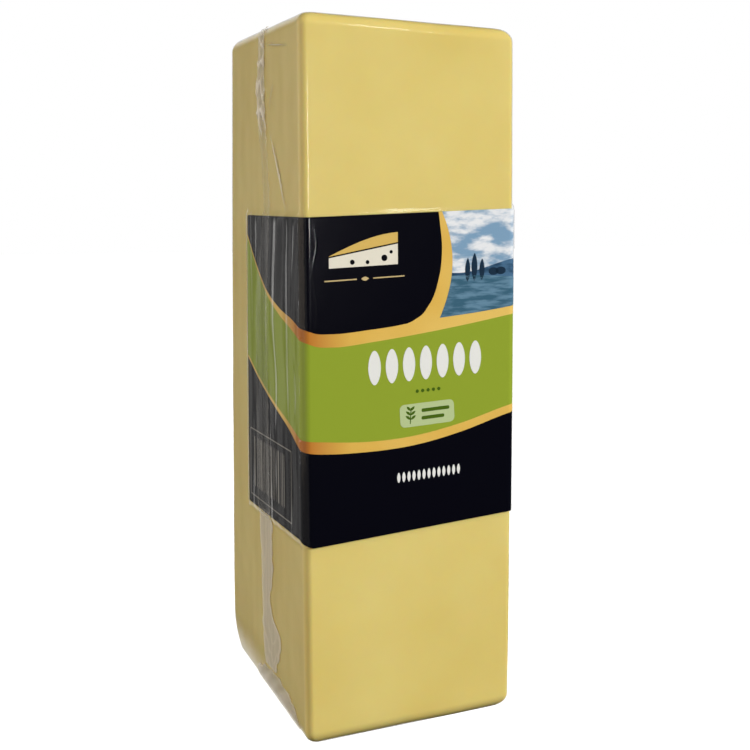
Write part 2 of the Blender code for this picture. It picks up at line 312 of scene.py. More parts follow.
@dataclass(frozen=True)
class BlockForm:
    """The rounded block, as a map from a place on its wrapping to a point in space.

    A place is the distance round from the middle of the front, positive to the right, and the
    distance climbed up the wall from the foot.
    """

    width: float = 0.0956
    depth: float = 0.1002
    height: float = 0.2963
    taper: float = 0.0100
    swell: float = 0.0004
    edge_r: float = 0.0030
    top_r: float = 0.0055
    foot_r: float = 0.0070
    lean_x: float = -0.0093
    lean_y: float = 0.0300
    rear_draw: float = 0.0046
    right_draw: float = 0.0014
    rear_narrow: float = 0.0010
    foot_draw: float = 0.0058
    foot_draw_height: float = 0.0290
    shift_y: float = -0.0018

    def half_size(self, full: float, z: Array) -> Array:
        """Half of a width or depth at height z, with the taper and the slight swell of the sides."""
        rise = z / self.height
        return 0.5 * full * (1.0 - self.taper * (rise - 0.5)) + self.swell * (1.0 - (2.0 * rise - 1.0) ** 2)

    def profile(self, climb: Array) -> tuple[Array, Array, Array, Array]:
        """Follows the wall: a quarter circle at the foot, straight up, a quarter circle at the top.

        Args:
            climb: Distance climbed, equal to the height on the straight stretch.

        Returns:
            Inset, height, and the normal's outward and upward shares.
        """
        low = np.clip((self.foot_r - climb) / self.foot_r, 0.0, np.pi / 2)
        high = np.clip((climb - self.height + self.top_r) / self.top_r, 0.0, np.pi / 2)
        inset = self.foot_r * (1.0 - np.cos(low)) + self.top_r * (1.0 - np.cos(high))
        straight = np.clip(climb, self.foot_r, self.height - self.top_r)
        z = straight - self.foot_r * np.sin(low) + self.top_r * np.sin(high)
        return inset, z, np.cos(low) * np.cos(high), np.sin(high) - np.sin(low)

    def lengths(self, climb: Array) -> Array:
        """Lengths of half the outline's stretches: half front, corner, side, corner, half back."""
        inset, z, _, _ = self.profile(climb)
        half_front = self.half_size(self.width, z) - inset - self.edge_r
        side = 2.0 * (self.half_size(self.depth, z) - inset - self.edge_r)
        arc = np.full_like(side, self.edge_r * np.pi / 2)
        return np.stack([half_front, arc, side, arc, half_front], axis=-1)

    def skin(self, around: Array, climb: Array, lift: Array) -> Array:
        """Points over the walls of the block as it stands, for the arguments of upright."""
        return self.settled(self.upright(around, climb, lift))

    def upright(self, around: Array, climb: Array, lift: Array) -> Array:
        """Points over the walls of the even block, before it settles.

        The outline is a rectangle with quarter circles at its corners, walked from the middle of the
        front; the normal turns with each corner, and lift moves the point along it.

        Args:
            around: Distance round, positive to the right.
            climb: Distance climbed.
            lift: Height above the block's surface.

        Returns:
            Points, with the shape of the arguments and a last axis of 3.
        """
        around, climb, lift = np.broadcast_arrays(around, climb, lift)
        _, z, out, up = self.profile(climb)
        front, arc, side, _, _ = np.moveaxis(self.lengths(climb), -1, 0)
        t = np.abs(around)
        turn = np.clip((t - front) / arc, 0.0, 1.0) + np.clip((t - front - arc - side) / arc, 0.0, 1.0)
        turn = turn * np.pi / 2
        centre_x = np.minimum(t, front) - np.clip(t - front - side - 2 * arc, 0.0, None)
        centre_y = np.clip(t - front - arc, 0.0, side) - side / 2
        reach = self.edge_r + lift * out
        x = np.sign(around) * (centre_x + reach * np.sin(turn))
        y = centre_y - reach * np.cos(turn)
        return np.stack([x, y, z + lift * up], axis=-1)

    def settled(self, points: Array) -> Array:
        """The block as it stands: its top slopes, its rear tapers, its rear foot edges are rounded off.

        Heights grow with the top's slope, by its share at their level. Places towards the rear move
        forwards and inwards near the top, and back and outwards near the foot. Places towards the right
        move left with their height. Close to the foot the rear sides also draw in, with the square of
        the distance below a height.

        Args:
            points: Points of the upright, even block.

        Returns:
            The moved points.
        """
        x, y, z = np.moveaxis(points, -1, 0)
        rise = z / self.height
        back = y / self.depth + 0.5
        tilt = 2.0 * rise - 1.0
        below = np.clip(1.0 - z / self.foot_draw_height, 0.0, 1.0)
        inward = (self.rear_narrow * tilt + self.foot_draw * below**2) * back
        slope = self.lean_x * x + self.lean_y * y
        moved_x = x - inward * np.clip(2.0 * x / self.width, -1.0, 1.0)
        moved_x = moved_x - self.right_draw * (x / self.width + 0.5) * rise
        moved_y = y - self.rear_draw * back * tilt + self.shift_y
        return np.stack([moved_x, moved_y, z + slope * np.clip(rise, 0.0, None)], axis=-1)

    def left_side(self, y: Array) -> Array:
        """Distance round of a place y on the left face, which is negative."""
        front, arc, side, _, _ = self.lengths(np.array(self.height / 2))
        return -(front + arc + side / 2 + y)

    def top_climb(self) -> float:
        """Distance climbed where the top's rounding meets the flat top."""
        return self.height - self.top_r + self.top_r * np.pi / 2

    def foot_climb(self) -> float:
        """Distance climbed where the foot's rounding meets the flat foot."""
        return self.foot_r - self.foot_r * np.pi / 2


@dataclass(frozen=True)
class Mesh:
    """How finely the block's stretches are divided."""

    front: int
    corner: int
    left: int
    right: int
    back: int
    rows: int
    rounding: int
    cap: int


def block_skin(form: BlockForm, mesh: Mesh, relief: Relief,
               cap_relief: Relief) -> Surface:
    """A closed skin over the whole block.

    Each column keeps its share of its stretch of the outline at every height, so that columns never
    cross a corner. The flat ends are rings that shrink to a point, each a scaled copy of the rim.

    Args:
        form: The block's form.
        mesh: How finely to divide it.
        relief: Height above the surface at a distance round and a distance climbed.
        cap_relief: Height above the flat top at x and y.

    Returns:
        The skin.
    """
    def columns(side_steps: int) -> tuple[Array, Array]:
        counts = (mesh.front, mesh.corner, side_steps, mesh.corner, mesh.back)
        stretch = np.concatenate([np.full(n, k) for k, n in enumerate(counts)])
        share = np.concatenate([(np.arange(n) + 0.5) / n if k in (0, 4) else np.arange(n) / n
                                for k, n in enumerate(counts)])
        return stretch, share

    foot, top = form.foot_climb(), form.top_climb()
    low = np.linspace(foot, form.foot_r, mesh.rounding + 1)
    high = np.linspace(form.height - form.top_r, top, mesh.rounding + 1)
    climb = np.concatenate([low, np.linspace(low[-1], high[0], mesh.rows + 1)[1:-1], high])[:, None]
    lengths = form.lengths(climb[:, 0])
    starts = np.cumsum(lengths, axis=1) - lengths
    halves = []
    for side, steps in ((1.0, mesh.right), (-1.0, mesh.left)):
        stretch, share = columns(steps)
        halves.append(side * (starts[:, stretch] + share * lengths[:, stretch]))
    around = np.concatenate([halves[0], halves[1][:, ::-1]], axis=1)
    walls = form.upright(around, climb, relief(around, climb))
    shrink = np.linspace(1.0, 0.0, mesh.cap + 1)[1:-1, None, None]
    scale = np.concatenate([shrink, shrink, np.ones_like(shrink)], axis=2)
    low_cap, high_cap = walls[0] * scale, walls[-1] * scale
    fade = smooth_step(1.0 - shrink[..., 0], 0.0, 0.08)
    high_cap[..., 2] += fade * cap_relief(high_cap[..., 0], high_cap[..., 1])
    return closed_skin(form.settled(np.concatenate([low_cap[::-1], walls, high_cap])))


# Materials


@dataclass(frozen=True)
class Cheddar:
    """Young cheddar, pressed and cut: a dense, waxy, slightly translucent yellow curd.

    The eye sees an even butter yellow, softly deeper and paler in patches of a few centimetres, with
    a very faint curd grain. Light goes a few millimetres in, which softens the rounded edges.
    """

    pale: str = "EFDC88"
    deep: str = "E8D178"
    patch_mm: float = 60.0
    patch_range: tuple[float, float] = (0.34, 0.66)
    grain_mm: float = 2.2
    grain_share: float = 0.10
    grain_depth_mm: float = 0.2
    scatter_mm: float = 3.0
    scatter_rgb: tuple[float, float, float] = (1.0, 0.55, 0.16)

    def material(self) -> bpy.types.Material:
        """Builds the material: patchy colour, faint grain, subsurface scattering and low gloss."""
        material, tree, surface = new_material("cheddar")
        place = own_place(tree)
        grain = noise(tree, place, self.grain_mm, 2.0)
        patches = ranged(tree, noise(tree, place, self.patch_mm, 3.0), *self.patch_range)
        share = mixed(tree, self.grain_share, patches, grain, "FLOAT")
        bump = add_node(tree, "ShaderNodeBump", Strength=0.12, Distance=self.grain_depth_mm * MM, Height=grain)
        shader = add_node(tree, "ShaderNodeBsdfPrincipled", Roughness=0.42, IOR=1.45, Subsurface_Weight=0.25,
                          Subsurface_Radius=self.scatter_rgb, Subsurface_Scale=self.scatter_mm * MM,
                          Base_Color=mixed(tree, share, linear(self.pale), linear(self.deep)),
                          Normal=bump.outputs["Normal"])
        tree.links.new(shader.outputs[0], surface)
        return material


@dataclass(frozen=True)
class ClearFilm:
    """Shrink film: clear polyethylene, blown thin and glossy, milky only where it lies in layers.

    The eye sees through it, apart from a mirror sheen that grows from its straight-on share towards
    grazing angles with the fifth power of one less the cosine, alike from both sides. Where the film
    is folded, the mesh's own veil values lay a pale haze over what is under it, a tenth of it light
    that comes through from behind. Where the veil is below nought the sheen fades out.
    """

    name: str = "shrink_film"
    haze: str = "FFF8EA"
    through: float = 0.1
    roughness: float = 0.12
    mirror: float = 0.04
    shine: float = 1.0
    bump_mm: float = 0.02
    bump_size_mm: float = 9.0

    def material(self) -> bpy.types.Material:
        """Builds the material: see-through, with a haze by the veil and a mirror sheen."""
        material, tree, surface = new_material(self.name)
        ripple = noise(tree, own_place(tree), self.bump_size_mm, 2.0)
        bump = add_node(tree, "ShaderNodeBump", Strength=0.5, Distance=self.bump_mm * MM, Height=ripple)
        normal, haze = bump.outputs["Normal"], linear(self.haze)
        front = add_node(tree, "ShaderNodeBsdfDiffuse", Color=haze, Normal=normal).outputs[0]
        behind = add_node(tree, "ShaderNodeBsdfTranslucent", Color=haze).outputs[0]
        clear = add_node(tree, "ShaderNodeBsdfTransparent").outputs[0]
        veil = add_node(tree, "ShaderNodeAttribute", {"attribute_name": "veil"}).outputs["Fac"]
        see = layered(tree, ranged(tree, veil, 0.0, 1.0), clear, layered(tree, self.through, front, behind))
        gloss = add_node(tree, "ShaderNodeBsdfGlossy", Roughness=self.roughness, Normal=normal).outputs[0]
        facing = add_node(tree, "ShaderNodeLayerWeight", Blend=0.5, Normal=normal).outputs["Facing"]
        sheen = ranged(tree, computed(tree, "POWER", facing, 5.0), 0.0, 1.0, self.mirror, self.shine)
        share = computed(tree, "MULTIPLY", sheen, ranged(tree, veil, -0.9, -0.1))
        tree.links.new(layered(tree, share, see, gloss), surface)
        return material


@dataclass(frozen=True)
class Ink:
    """Flexographic ink on label film: flat, dense colour, with hardly a gloss of its own under the film.

    The eye sees a clean field of one colour. On a metal-like ink, paler patches are painted in as a
    painted sheen, in long soft stretches. Towards the block's near edge a second ink can be printed in
    a tint that fades over two centimetres.
    """

    name: str
    code: str
    pale_tone_and_sheen_code: str = ""
    patch_mm: float = 34.0
    corner_code: str = ""
    corner_mm: float = 20.0
    near_edge: tuple[float, float] = (-0.0480, -0.0504)
    screen_mm: float = 0.9
    screen_share: float = 0.10
    screen_tone: float = 0.82
    roughness: float = 0.32
    gloss: float = 0.03

    def material(self) -> bpy.types.Material:
        """Builds the material: an even colour with a fine screen grain, its painted sheen and its corner tint.
        """
        material, tree, surface = new_material(self.name)
        colour = self.colour(tree)
        shader = add_node(tree, "ShaderNodeBsdfPrincipled", Roughness=self.roughness,
                          Specular_IOR_Level=self.gloss, Base_Color=colour)
        tree.links.new(shader.outputs[0], surface)
        return material

    def colour(self, tree: Tree) -> Socket:
        """Lays the colour, its paler patches of painted sheen and its corner tint over each other."""
        place = own_place(tree)
        grain = ranged(tree, noise(tree, place, self.screen_mm, 1.0), 0.0, 1.0, 0.0, self.screen_share)
        colour = mixed(tree, grain, linear(self.code), (*[self.screen_tone] * 3, 1.0), blend="MULTIPLY")
        if self.pale_tone_and_sheen_code:
            # paler patches painted over the ink as a painted sheen, not a tone of the ink itself
            tone_and_sheen_drift = ranged(tree, noise(tree, place, self.patch_mm, 1.0), 0.40, 0.62)
            colour = mixed(tree, tone_and_sheen_drift, colour, linear(self.pale_tone_and_sheen_code))
        if self.corner_code:
            axes = add_node(tree, "ShaderNodeSeparateXYZ", Vector=place).outputs
            sides = [computed(tree, "SUBTRACT", axes[axis], edge) for axis, edge in zip("XY", self.near_edge)]
            fade = ranged(tree, computed(tree, "MAXIMUM", *sides), 0.0, self.corner_mm * MM)
            colour = mixed(tree, fade, linear(self.corner_code), colour)
        return colour


@dataclass(frozen=True)
class DuotoneInk(Ink):
    """A printed picture field in two tones of blue, with soft clouds or grass in it.

    The eye sees the pale tone drifting over the deeper one in long level patches.
    """

    patches_mm: tuple[float, float, float] = (17.0, 17.0, 6.5)
    low: float = 0.40
    high: float = 0.62

    def colour(self, tree: Tree) -> Socket:
        """Mixes the two tones by a stretched noise."""
        scale = tuple(1 / (size * MM) for size in self.patches_mm)
        scaled = add_node(tree, "ShaderNodeMapping", Vector=own_place(tree), Scale=scale).outputs[0]
        tone_and_sheen_drift = add_node(tree, "ShaderNodeTexNoise", Vector=scaled, Scale=1.0, Detail=4.0, Roughness=0.55)
        share = ranged(tree, tone_and_sheen_drift.outputs["Fac"], self.low, self.high, kind="SMOOTHSTEP")
        return mixed(tree, share, linear(self.code), linear(self.pale_tone_and_sheen_code))


# The cheese and its film


@dataclass(frozen=True)
class Cheese:
    """The block of cheese itself, just under its film."""

    form: BlockForm
    mesh: Mesh = Mesh(front=30, corner=10, left=44, right=44, back=30, rows=110, rounding=10, cap=16)
    unevenness: float = 0.00010
    lump: float = 0.038

    def relief(self, around: Array, climb: Array) -> Array:
        """Soft lumps of a few centimetres, from a sum of waves."""
        return -self.unevenness + self.unevenness * 0.5 * waves(around / self.lump, climb / self.lump, seed=3)

    def cap_relief(self, x: Array, y: Array) -> Array:
        """The same soft lumps over the top."""
        return self.unevenness * 0.5 * (waves(x / self.lump, y / self.lump, seed=4) - 1.0)

    def build(self) -> bpy.types.Object:
        """Makes the cheese, which stands for the wrapped block's solid."""
        skin = block_skin(self.form, self.mesh, self.relief, self.cap_relief)
        piece = skin.object("cheese", Cheddar().material(), "cheese")
        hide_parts("cheese_block")
        return piece


def film_piece(name: str, replaced: str, surface: Surface, finish: ClearFilm) -> bpy.types.Object:
    """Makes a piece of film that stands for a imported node.

    Args:
        name: The piece's name.
        replaced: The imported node.
        surface: The piece's surface.
        finish: The film that it is made of.

    Returns:
        The object.
    """
    piece = surface.object(name, finish.material(), "film")
    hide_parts(replaced)
    return piece


@dataclass(frozen=True)
class Crease:
    """A sharp fold line in the film, through a few places given as (round, up) in millimetres.

    veil says how milky its ridge is.
    """

    points_mm: tuple[tuple[float, float], ...]
    height_mm: float = 0.30
    width_mm: float = 0.60
    veil: float = 0.5
    steps: int = 90
    across: int = 15
    reach_widths: float = 2.6
    inner_lift: float = 0.00001
    outer_lift: float = 0.00003

    def surface(self, form: BlockForm, under: Relief) -> Surface:
        """A narrow strip along the line, bell-shaped across and fading out at both ends.

        Args:
            form: The block's form.
            under: Height of the film at a distance round and a distance climbed.

        Returns:
            The strip, which meets the film at its borders.
        """
        line = np.array(self.points_mm) * MM
        reach = np.concatenate([[0.0], np.cumsum(np.linalg.norm(np.diff(line, axis=0), axis=1))])
        along = np.linspace(0.0, reach[-1], self.steps)
        middle = np.stack([smooth_line(np.stack([reach, line[:, k]], axis=1), along) for k in (0, 1)], axis=-1)
        way = np.gradient(middle, axis=0)
        way = way / np.linalg.norm(way, axis=1, keepdims=True)
        off = np.linspace(-self.reach_widths, self.reach_widths, self.across)[None, :]
        around = middle[:, :1] + off * self.width_mm * MM * way[:, 1:]
        climb = middle[:, 1:] - off * self.width_mm * MM * way[:, :1]
        ends = np.sin(np.pi * np.linspace(0.0, 1.0, self.steps)[:, None]) ** 0.4
        ridge = np.exp(-(off**2)) * ends
        base = under(around, climb)
        inner = form.skin(around, climb, base + self.inner_lift)
        outer = form.skin(around, climb, base + self.outer_lift + self.height_mm * MM * ridge)
        return thin_body(inner, outer, (1.0 + self.veil) * ridge - 1.0)


@dataclass(frozen=True)
class LabelShape:
    """Where the label band lies: its edges, its layers and its slanted ends."""

    form: BlockForm
    gap: float = 0.0003
    thickness: float = 0.00035
    top: float = 0.2207
    foot: float = 0.0890
    top_lean: float = 0.0475
    foot_lean: float = 0.0630
    turn: float = 0.0450
    side_step: float = 0.0027
    side_step_length: float = 0.0060
    end_y: float = 0.0206
    corner_r: float = 0.0012

    def end(self) -> float:
        """Distance round of the label's ends."""
        return -float(self.form.left_side(np.array(self.end_y)))

    def edges(self, around: Array) -> tuple[Array, Array]:
        """Top and foot heights at a distance round.

        Both edges lean on the front and run level on the sides, where the left foot edge steps up.

        Args:
            around: Distance round.

        Returns:
            Heights of the top and of the foot edge.
        """
        front = np.clip(around, -self.turn, self.turn)
        left = np.clip((-around - self.turn) / self.side_step_length, 0.0, 1.0)
        top = self.top + self.top_lean * front
        return top, self.foot + self.foot_lean * front + self.side_step * left

    def outside(self, around: Array, climb: Array) -> Array:
        """Distance outside the label's border, negative inside it."""
        top, foot = self.edges(around)
        return np.maximum(np.maximum(foot - climb, climb - top), np.abs(around) - self.end())

    def surface(self) -> float:
        """Height of the label's printed face above the block."""
        return self.gap + self.thickness


@dataclass(frozen=True)
class Film:
    """The shrink film round the whole block, drawn over the label and creased beside its seam."""

    form: BlockForm
    label: LabelShape
    mesh: Mesh = Mesh(front=44, corner=10, left=110, right=34, back=34, rows=190, rounding=10, cap=24)
    on_cheese: float = 0.00012
    on_label: float = 0.00110
    dip: float = 0.00024
    label_rise: float = 0.0020
    creases: tuple[Crease, ...] = (
        Crease(((-64.5, 221.0), (-66.2, 223.1), (-71.8, 233.1), (-76.8, 241.1), (-85.0, 253.0)),
               0.50, 1.00, 0.95),
        Crease(((-90.4, 288.4), (-82.3, 287.3), (-60.5, 284.8)), 0.26, 0.60, 0.60),
        Crease(((-85.4, 262.0), (-83.6, 266.0), (-80.0, 272.0)), 0.30, 1.00, 0.30),
        Crease(((-84.8, 96.0), (-84.2, 112.0), (-83.2, 128.0), (-83.8, 150.0)), 0.42, 1.50, 0.10),
        Crease(((-43.6, 170.0), (-42.6, 184.0), (-44.2, 198.0), (-42.4, 207.0), (-43.6, 217.0)),
               0.10, 0.60, 0.03),
    )
    swells_mm: tuple[tuple[float, float, float], ...] = (
        (-83.5, -0.20, 3.0), (-75.1, 0.52, 3.4), (-67.0, -0.24, 3.0), (-53.5, 0.34, 1.7), (-102.0, 0.24, 3.4))
    sway_mm: float = 2.2
    sway_size: float = 0.034
    swell_inset: float = 0.0040
    swell_low_share: float = 0.55
    swell_fade: tuple[float, float] = (0.150, 0.185)
    streaks: float = 0.00009
    streak_width: float = 0.0100
    streak_length: float = 0.120
    streak_bare_share: float = 0.10
    streak_front: tuple[float, float] = (0.047, 0.056)
    streak_rear: tuple[float, float] = (-0.145, -0.136)
    streak_foot: tuple[float, float] = (0.004, 0.022)
    streak_top: tuple[float, float] = (0.002, 0.020)
    ripple: float = 0.000012
    ripple_size: float = 0.016
    fold_corner: tuple[float, float] = (0.044, 0.046)
    fold_end_y: float = 0.030
    fold_start: tuple[float, float] = (-0.004, 0.006)
    fold_stop: tuple[float, float] = (-0.004, 0.004)
    fold_height: float = 0.00035
    fold_width: float = 0.0009

    def relief(self, around: Array, climb: Array) -> Array:
        """Height of the film: its rise over the label, upright swells and streaks there, and ripples.

        The swells are long bells within the label, each given as (round, height, width), that sway a
        little from side to side on their way up and are lower on its lower half. The streaks are
        strong over the label and faint on the bare part of the left face.

        Args:
            around: Distance round.
            climb: Distance climbed.

        Returns:
            Height above the cheese.
        """
        outside = self.label.outside(around, climb)
        over = 1.0 - smooth_step(outside, 0.0002, self.label_rise)
        height = self.on_cheese + (self.on_label - self.on_cheese) * over
        top_fade = (self.streak_top[0] - self.form.height, self.streak_top[1] - self.form.height)
        left = smooth_step(-around, *self.streak_front) * smooth_step(around, *self.streak_rear)
        wall = smooth_step(climb, *self.streak_foot) * smooth_step(-climb, *top_fade)
        share = self.streak_bare_share + (1.0 - self.streak_bare_share) * over**4
        streak = waves(around / self.streak_width, climb / self.streak_length, seed=11)
        height = height + self.streaks * share * left * wall * streak
        sway = self.sway_mm * MM * waves(climb / self.sway_size, climb * 0.0, seed=14, count=6)
        fade = self.swell_low_share + (1.0 - self.swell_low_share) * smooth_step(climb, *self.swell_fade)
        inside = smooth_step(-outside, 0.0, self.swell_inset)
        for place, rise, width in np.array(self.swells_mm) * MM:
            height = height + rise * inside * fade * bell(around, place + sway, width)
        height = height + self.ripple * waves(around / self.ripple_size, climb / self.ripple_size, seed=12)
        return np.maximum(height, self.on_cheese * 0.8 + (self.on_label - self.on_cheese - self.dip) * over)

    def cap_relief(self, x: Array, y: Array) -> Array:
        """The film on the top: fold lines from the four corners to the ends of the crimped seal.

        Each fold is a bell across the straight line between a corner and the seal's end.

        Args:
            x: Places on the top.
            y: Places on the top.

        Returns:
            Height above the flat top.
        """
        height = self.on_cheese * 0.2 + self.ripple * 2.0 * waves(x / 0.02, y / 0.02, seed=13)
        for corner_x in (-self.fold_corner[0], self.fold_corner[0]):
            for side in (-1.0, 1.0):
                start = np.array([corner_x, side * self.fold_corner[1]])
                end = np.array([EndSeal.x, side * self.fold_end_y])
                span = np.linalg.norm(end - start)
                way = (end - start) / span
                along = (x - start[0]) * way[0] + (y - start[1]) * way[1]
                off = (x - start[0]) * way[1] - (y - start[1]) * way[0]
                ends = smooth_step(along, *self.fold_start)
                ends = ends * smooth_step(-along, self.fold_stop[0] - span, self.fold_stop[1] - span)
                height = height + self.fold_height * bell(off, 0.0, self.fold_width) * ends
        return height

    def build(self) -> bpy.types.Object:
        """Makes the film, which stands for the wrapped block's solid together with the cheese."""
        folds = joined([crease.surface(self.form, self.relief) for crease in self.creases])
        film_piece("film_creases", "cheese_block", folds, ClearFilm("creased_film", shine=0.5))
        skin = block_skin(self.form, self.mesh, self.relief, self.cap_relief)
        return film_piece("shrink_film", "cheese_block", skin, ClearFilm())


@dataclass(frozen=True)
class FilmSeam:
    """The fin seam: a crumpled welded strip folded flat down the left face, over the label."""

    form: BlockForm
    label: LabelShape
    course_mm: tuple[tuple[float, float, float], ...] = (
        (18.0, -5.8, 6.8), (28.0, -8.0, 10.6), (36.0, -8.6, 12.0), (43.0, -3.4, 7.0), (63.0, -3.1, 7.6),
        (81.0, -2.3, 8.4), (145.0, -0.9, 8.2), (185.0, -1.4, 7.6), (222.0, -7.8, 4.2), (246.0, -4.0, 4.6),
        (262.0, -0.2, 5.8), (283.0, -0.8, 4.6), (294.0, -2.6, 3.6))
    rows: int = 620
    columns: int = 48
    thickness: float = 0.00022
    over_top: float = 1.40
    rise: float = 0.0022
    border_wave: float = 0.00035
    border_size: float = 0.006
    fold_size: float = 0.0072
    fold_stretch: float = 2.2
    fold_height: float = 0.00072
    fold_sharpness: float = 0.46
    loose_above: tuple[float, float] = (0.246, 0.262)
    loose_foot: tuple[float, float] = (-0.046, -0.030)
    loose_foot_share: float = 0.12
    tight_above: tuple[float, float] = (0.086, 0.092)
    welds: tuple[tuple[float, float, float], ...] = ((0.88, 0.07, 1.0), (-0.86, 0.09, 0.7))
    weld_height: float = 0.00014
    pleat_height: float = 0.00004
    pleat_size: tuple[float, float] = (0.0034, 0.070)
    lift_range: tuple[float, float] = (0.00008, 0.0012)

    def build(self) -> bpy.types.Object:
        """Makes the strip.

        Its middle and width follow smooth curves through the course's places, with a waved border.
        Height across it adds two raised weld lines, long fine pleats, and folds: a field of waves
        turned to sharp crests where it crosses zero. The folds are high in the loose upper stretch,
        low at the foot, and absent where the film is drawn tight. The film is milky on their crests
        and below the label.
        """
        course = np.array(self.course_mm) * MM
        over = self.form.height - self.form.top_r + self.form.top_r * np.linspace(0.0, self.over_top, 16)
        climb = np.concatenate([np.linspace(course[0, 0], over[0], self.rows), over[1:]])[:, None]
        middle = smooth_line(course[:, (0, 1)], climb)
        half = smooth_line(course[:, (0, 2)], climb)
        share = np.linspace(-1.0, 1.0, self.columns)
        border = waves(climb / self.border_size, share * 0.0 + np.sign(share), seed=21)
        y = middle + half * share + self.border_wave * border * np.abs(share) ** 6 * np.sign(share)
        around = self.form.left_side(y)
        step = smooth_step(-self.label.outside(around, climb), -self.rise, -self.label.gap)
        base = self.label.gap + self.label.surface() * step
        foot = self.loose_foot_share * smooth_step(-climb, *self.loose_foot)
        loose = np.maximum(smooth_step(climb, *self.loose_above), foot)
        low = 1.0 - smooth_step(climb, *self.tight_above)
        field = waves(y / self.fold_size, climb / (self.fold_stretch * self.fold_size), seed=22)
        crest = bell(field, 0.0, self.fold_sharpness) * (1.0 - share**8)
        weld = sum(tall * bell(share, place, width) for place, width, tall in self.welds)
        pleats = self.pleat_height * waves(y / self.pleat_size[0], climb / self.pleat_size[1], seed=23)
        height = self.thickness + self.fold_height * loose * crest + self.weld_height * weld + pleats
        height = np.clip(height * (1.0 - 0.8 * share**14), *self.lift_range)
        veil = 0.02 + 0.30 * loose + 0.70 * loose * crest + 0.50 * low * (1.0 - loose) + 0.12 * weld
        inner = self.form.skin(around, climb, base)
        outer = self.form.skin(around, climb, base + height)
        body = thin_body(inner[:, ::-1], outer[:, ::-1], veil[:, ::-1])
        finish = ClearFilm("crumpled_film", bump_mm=0.05, bump_size_mm=2.4, roughness=0.16, shine=0.5)
        return film_piece("fin_seam", "film_seam", body, finish)


@dataclass(frozen=True)
class FootFold:
    """The spare film folded forward round the foot of the left face, below the seam."""

    form: BlockForm
    middle_y: float = -0.0110
    half_length: float = 0.0310
    ends: float = 0.97
    low: float = 0.0030
    high: float = 0.0170
    rows: int = 40
    columns: int = 150
    border_wave: float = 0.0004
    border_size: float = 0.007
    drape_size: tuple[float, float] = (0.0130, 0.03)
    drape_slant: float = 1.4
    drape_height: float = 0.00009
    drape_most: float = 0.0009
    inner_lift: float = 0.0003
    outer_lift: float = 0.00038
    thickness: float = 0.00022

    def build(self) -> bpy.types.Object:
        """Makes the fold: half an ellipse with a soft slanted drape.

        The drape rises towards the upper edge, the whole sinks at its rim, and the film is milkier
        towards the foot.
        """
        share = np.sin(np.linspace(-1.0, 1.0, self.columns) * np.arcsin(self.ends))
        y = self.middle_y + self.half_length * share
        up = np.linspace(0.0, 1.0, self.rows)[:, None]
        high = self.low + (self.high - self.low) * np.sqrt(1.0 - share**2)
        high = high + self.border_wave * waves(y / self.border_size, y * 0.0, seed=31)
        climb = self.low + (high - self.low) * up
        around = self.form.left_side(y) + np.zeros_like(climb)
        slanted = y + self.drape_slant * climb
        drape = waves(slanted / self.drape_size[0], climb / self.drape_size[1], seed=32)
        rim = (1.0 - (2.0 * up - 1.0) ** 12) * (1.0 - (share / self.ends) ** 12)
        pleats = np.clip(self.drape_height * (1.4 + drape) * up, 0.0, self.drape_most)
        inner = self.form.skin(around, climb, self.inner_lift)
        outer = self.form.skin(around, climb, self.outer_lift + (self.thickness + pleats) * rim)
        veil = 0.42 + 0.07 * drape + 0.24 * (1.0 - up)
        body = thin_body(inner[:, ::-1], outer[:, ::-1], veil[:, ::-1])
        finish = ClearFilm("folded_film", bump_mm=0.05, bump_size_mm=4.0, roughness=0.14, shine=0.5)
        return film_piece("foot_fold_film", "foot_fold", body, finish)


@dataclass(frozen=True)
class EndSeal:
    """The crimped seal across the top, pressed flat."""

    form: BlockForm
    length: float = 0.0640
    width: float = 0.0130
    x: float = 0.0080
    pitch: float = 0.0020
    crimp_height: float = 0.00035
    sway: float = 0.0004
    unevenness: float = 0.00012
    inner_lift: float = 0.0003
    outer_lift: float = 0.0007
    rows: int = 40
    columns: int = 320

    def build(self) -> bpy.types.Object:
        """Makes the seal: a strip with a sine-shaped crimp along it, flattened at its two borders."""
        along = np.linspace(-0.5, 0.5, self.columns)[None, :] * self.length
        across = np.linspace(-0.5, 0.5, self.rows)[:, None]
        x = self.x - across * self.width - self.sway * waves(along / 0.015, across * 0.0, seed=41)
        y = along + np.zeros_like(x)
        crimp = 0.5 + 0.5 * np.cos(2 * np.pi * along / self.pitch)
        crimp = crimp * (1.0 - (2 * np.abs(across)) ** 8)
        lift = self.unevenness * (1.0 + waves(x / 0.02, y / 0.02, seed=42) * 0.4) + self.crimp_height * crimp
        low, high = (np.stack([x, y, self.form.height + rise], axis=-1)
                     for rise in (self.inner_lift + np.zeros_like(x), self.outer_lift + lift))
        veil = 0.30 + 0.35 * crimp + np.zeros_like(x)
        body = thin_body(self.form.settled(low), self.form.settled(high), veil)
        return film_piece("crimped_end_seal", "end_seal", body, ClearFilm("crimped_film", roughness=0.14))


# The label and its print


def printed(name: str, ink: Ink, *shapes: Surface) -> None:
    """Makes one printed piece of the label from its shapes."""
    joined(shapes).object(name, ink.material(), "label")


class Layer(Enum):
    """How high each printed layer lies above the label's face, in millimetres."""

    FIELD = 0.030
    STRIPE = 0.055
    BRIDGE = 0.068
    PICTURE = 0.080
    MOTIF = 0.105
    DETAIL = 0.130


